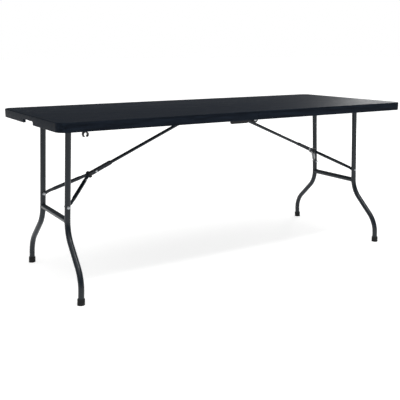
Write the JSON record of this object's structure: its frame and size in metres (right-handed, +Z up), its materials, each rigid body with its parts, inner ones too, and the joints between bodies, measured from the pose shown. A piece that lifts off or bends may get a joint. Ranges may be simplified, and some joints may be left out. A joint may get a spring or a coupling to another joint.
{
  "type": "folding table",
  "caption": "Fold-in-half table with moulded plastic half tops on a steel underframe, folding splayed leg frames and ring-locked braces.",
  "frame": {"origin": "centre of the footprint, on the floor", "axes": "+X along the table, +Y across it to the rear, +Z up"},
  "size_m": [1.82, 0.74, 0.74],
  "materials": {
    "tabletop": "black HDPE, moulded wood grain",
    "coated_steel": "semi-gloss black powder coat",
    "coated_bracket": "black powder coat on pressed sheet",
    "foot_cap": "moulded",
    "bearing": "satin nylon",
    "bright_hardware": "zinc plated"
  },
  "bodies": {
    "right_half": {"tabletop_right": "tabletop", "rail_front_right": "coated_steel", "rail_rear_right": "coated_steel", "hinge_leaf_front_right": "coated_bracket", "hinge_leaf_rear_right": "coated_bracket", "pivot_bearing_front_right": "bearing", "pivot_bearing_rear_right": "bearing", "anchor_tube_right": "coated_steel", "hinge_pin_front": "bright_hardware", "hinge_pin_rear": "bright_hardware", "hinge_washer_front": "bright_hardware", "hinge_washer_rear": "bright_hardware"},
    "right_leg_frame": {"pivot_rod_right": "coated_steel", "crossbar_right": "coated_steel", "leg_front_right": "coated_steel", "leg_rear_right": "coated_steel", "foot_cap_front_right": "foot_cap", "foot_cap_rear_right": "foot_cap", "leg_rivet_front_right": "bright_hardware", "leg_rivet_rear_right": "bright_hardware"},
    "right_brace": {"brace_tube_right": "coated_steel", "brace_sleeve_right": "coated_steel", "brace_channel_right": "coated_steel"},
    "right_wishbone": {"wishbone_arm_front_right": "coated_steel", "wishbone_arm_rear_right": "coated_steel", "arm_rivet_front_right": "bright_hardware", "arm_rivet_rear_right": "bright_hardware", "joint_rivet_right": "bright_hardware"},
    "right_lock_ring": {"lock_ring_right": "coated_bracket"},
    "left_half": {"tabletop_left": "tabletop", "rail_front_left": "coated_steel", "rail_rear_left": "coated_steel", "hinge_leaf_front_left": "coated_bracket", "hinge_leaf_rear_left": "coated_bracket", "pivot_bearing_front_left": "bearing", "pivot_bearing_rear_left": "bearing", "anchor_tube_left": "coated_steel"},
    "left_leg_frame": {"pivot_rod_left": "coated_steel", "crossbar_left": "coated_steel", "leg_front_left": "coated_steel", "leg_rear_left": "coated_steel", "foot_cap_front_left": "foot_cap", "foot_cap_rear_left": "foot_cap", "leg_rivet_front_left": "bright_hardware", "leg_rivet_rear_left": "bright_hardware"},
    "left_brace": {"brace_tube_left": "coated_steel", "brace_sleeve_left": "coated_steel", "brace_channel_left": "coated_steel"},
    "left_wishbone": {"wishbone_arm_front_left": "coated_steel", "wishbone_arm_rear_left": "coated_steel", "arm_rivet_front_left": "bright_hardware", "arm_rivet_rear_left": "bright_hardware", "joint_rivet_left": "bright_hardware"},
    "left_lock_ring": {"lock_ring_left": "coated_bracket"}
  },
  "joints": [
    {"name": "centre_fold", "type": "hinge", "parent": "right_half", "child": "left_half", "pos_m": [0, 0, 0.7015], "axis": [0, -1, 0], "range_deg": [0, 90]},
    {"name": "right_leg_fold", "type": "hinge", "parent": "right_half", "child": "right_leg_frame", "pos_m": [0.793, 0, 0.715], "axis": [0, 1, 0], "range_deg": [0, 90]},
    {"name": "right_brace_swing", "type": "hinge", "parent": "right_half", "child": "right_brace", "pos_m": [0.064, 0, 0.715], "axis": [0, -1, 0], "range_deg": [0, 23.25]},
    {"name": "right_wishbone_swing", "type": "hinge", "parent": "right_brace", "child": "right_wishbone", "pos_m": [0.61919, 0, 0.47766], "axis": [0, 1, 0], "range_deg": [0, 168.59]},
    {"name": "right_ring_slide", "type": "slide", "parent": "right_brace", "child": "right_lock_ring", "axis": [-0.9195, 0, 0.3931], "range_m": [0, 0.2832]},
    {"name": "left_leg_fold", "type": "hinge", "parent": "left_half", "child": "left_leg_frame", "pos_m": [-0.793, 0, 0.715], "axis": [0, -1, 0], "range_deg": [0, 90]},
    {"name": "left_brace_swing", "type": "hinge", "parent": "left_half", "child": "left_brace", "pos_m": [-0.064, 0, 0.715], "axis": [0, 1, 0], "range_deg": [0, 23.25]},
    {"name": "left_wishbone_swing", "type": "hinge", "parent": "left_brace", "child": "left_wishbone", "pos_m": [-0.61919, 0, 0.47766], "axis": [0, -1, 0], "range_deg": [0, 168.59]},
    {"name": "left_ring_slide", "type": "slide", "parent": "left_brace", "child": "left_lock_ring", "axis": [0.9195, 0, 0.3931], "range_m": [0, 0.2832]}
  ],
  "couplings": [
    {"joint": "right_brace_swing", "follows": "right_leg_fold", "ratio": 0.25718},
    {"joint": "right_wishbone_swing", "follows": "right_leg_fold", "ratio": 1.8721},
    {"joint": "right_ring_slide", "follows": "right_leg_fold", "m_per_rad": 0.18},
    {"joint": "left_brace_swing", "follows": "left_leg_fold", "ratio": 0.25718},
    {"joint": "left_wishbone_swing", "follows": "left_leg_fold", "ratio": 1.8721},
    {"joint": "left_ring_slide", "follows": "left_leg_fold", "m_per_rad": 0.18}
  ]
}
